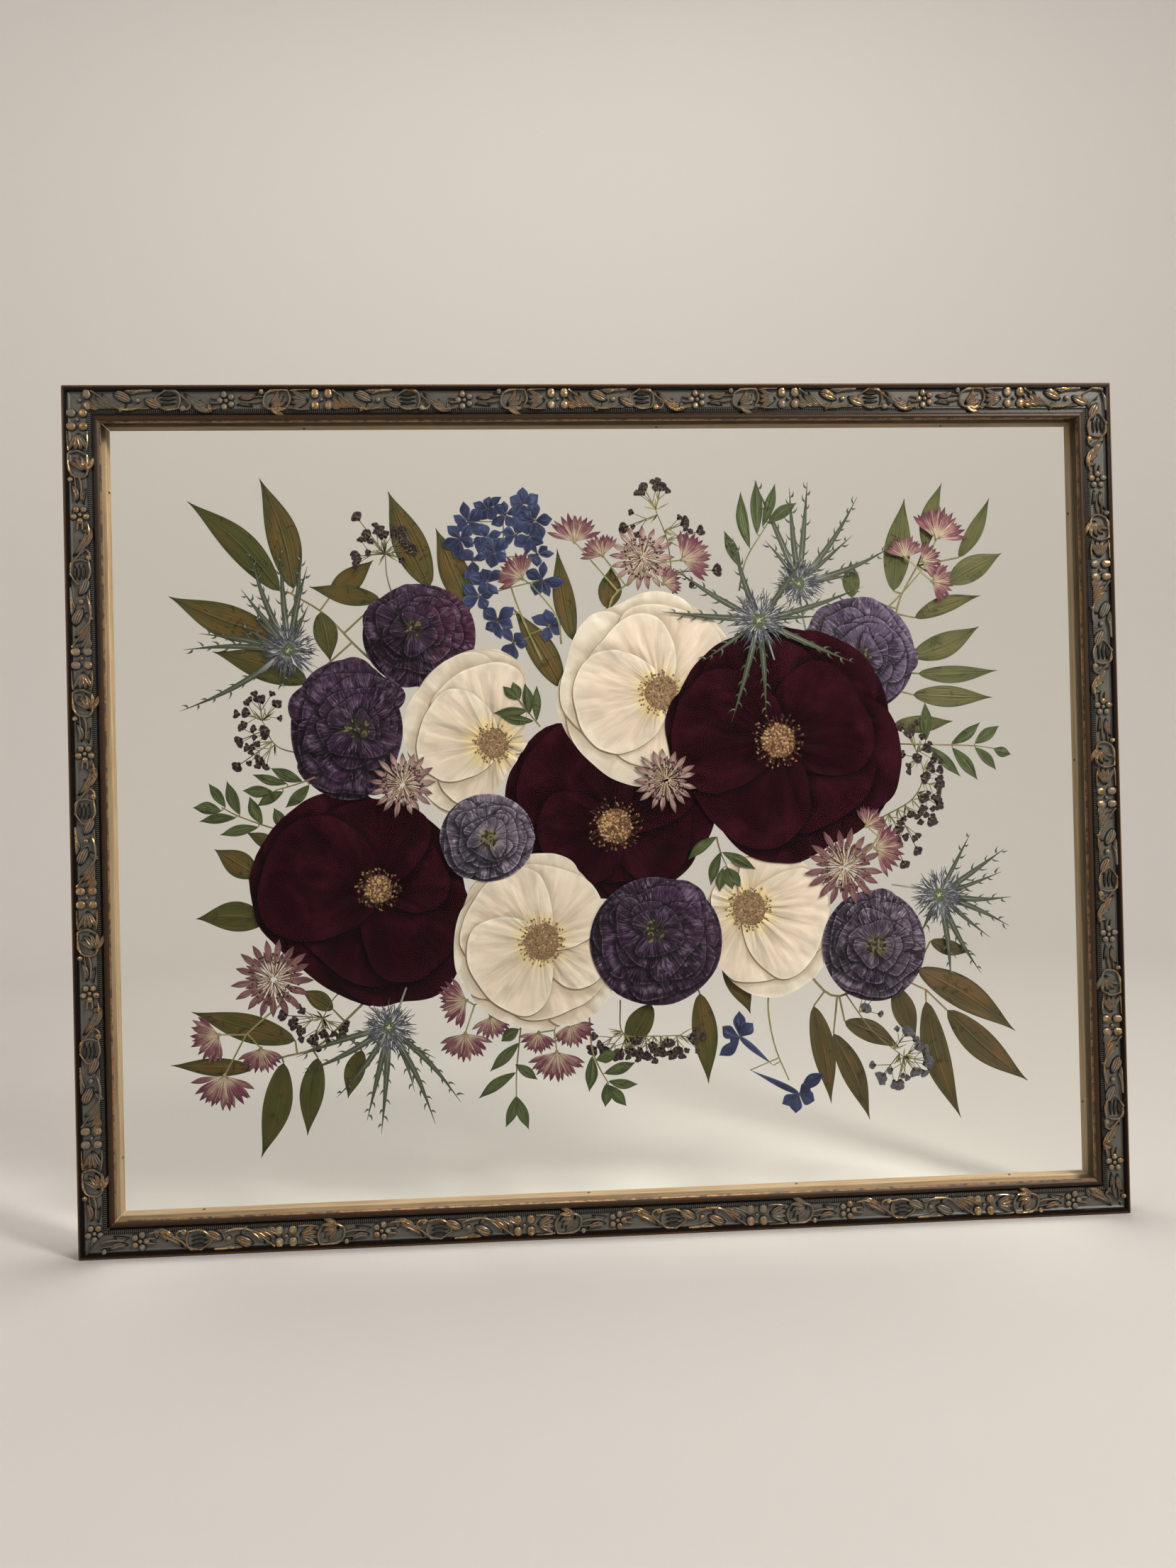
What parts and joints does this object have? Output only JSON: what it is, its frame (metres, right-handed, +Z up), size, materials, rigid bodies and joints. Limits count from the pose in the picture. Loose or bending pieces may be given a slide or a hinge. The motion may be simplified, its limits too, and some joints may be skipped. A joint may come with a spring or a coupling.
{
  "type": "pressed flower frame",
  "caption": "Carved wood picture frame with two glass panes that hold a bouquet of pressed flowers, leaves and buds.",
  "frame": {"origin": "centre of the frame's base, on the surface that it stands on", "axes": "+Z up, +X to the right seen from the front, the front faces -Y"},
  "size_m": [0.5328, 0.019, 0.4311],
  "materials": {
    "carved_wood": "dark patina over bronze gilding, rubbed bright on the high edges",
    "raw_wood": "bare pale wood, unfinished",
    "clear_glass": "clear, polished",
    "red_petal": "dry pressed petal, deep burgundy",
    "white_petal": "dry pressed petal, cream",
    "purple_petal": "dry wrinkled petal, dark purple",
    "pink_bract": "dry papery bract, dusty pink with dark veins",
    "thistle": "dry spiny bract, grey green to steel blue",
    "blue_petal": "dry pressed petal, blue",
    "olive_leaf": "dry leaf, olive brown, faint parallel veins",
    "green_leaf": "dry leaflet, matt green",
    "dark_bud": "dry bud, near black purple"
  },
  "bodies": {
    "root": {"astrantia_head_centre": "pink_bract", "astrantia_head_left": "pink_bract", "astrantia_head_lower_left": "pink_bract", "astrantia_sprig_bottom": "pink_bract", "astrantia_sprig_bottom_left": "pink_bract", "astrantia_sprig_lower_left": "pink_bract", "astrantia_sprig_right": "pink_bract", "astrantia_sprig_top": "pink_bract", "astrantia_sprig_upper_left": "pink_bract", "astrantia_sprig_upper_right": "pink_bract", "bud_sprig_bottom": "dark_bud", "bud_sprig_left": "dark_bud", "bud_sprig_right": "dark_bud", "bud_sprig_top": "dark_bud", "bud_sprig_upper_left": "dark_bud", "delphinium_bottom": "blue_petal", "delphinium_top": "blue_petal", "eryngium_bottom_left": "thistle", "eryngium_centre": "thistle", "eryngium_right": "thistle", "eryngium_top_right": "thistle", "eryngium_upper_left": "thistle", "glass_back": "clear_glass", "glass_front": "clear_glass", "green_sprig_bottom": "green_leaf", "green_sprig_bottom_left": "green_leaf", "green_sprig_left": "green_leaf", "green_sprig_right": "green_leaf", "green_sprig_top_right": "green_leaf", "green_sprig_upper_left": "green_leaf", "rail_bottom": "carved_wood", "rail_left": "carved_wood", "rail_right": "carved_wood", "rail_top": "carved_wood", "ranunculus_centre": "purple_petal", "ranunculus_centre_left": "purple_petal", "ranunculus_left": "purple_petal", "ranunculus_lower_right": "purple_petal", "ranunculus_right": "purple_petal", "ranunculus_upper_left": "purple_petal", "rose_red_left": "red_petal", "rose_red_middle": "red_petal", "rose_red_right": "red_petal", "rose_white_lower_left": "white_petal", "rose_white_lower_right": "white_petal", "rose_white_top": "white_petal", "rose_white_upper_left": "white_petal", "ruscus_bottom": "olive_leaf", "ruscus_left": "olive_leaf", "ruscus_lower_left": "olive_leaf", "ruscus_lower_right": "olive_leaf", "ruscus_right": "olive_leaf", "ruscus_top_middle": "olive_leaf", "ruscus_upper_left": "olive_leaf", "ruscus_upper_middle": "olive_leaf", "statice_sprig": "dark_bud", "stop_bottom": "raw_wood", "stop_left": "raw_wood", "stop_right": "raw_wood", "stop_top": "raw_wood"}
  },
  "joints": []
}
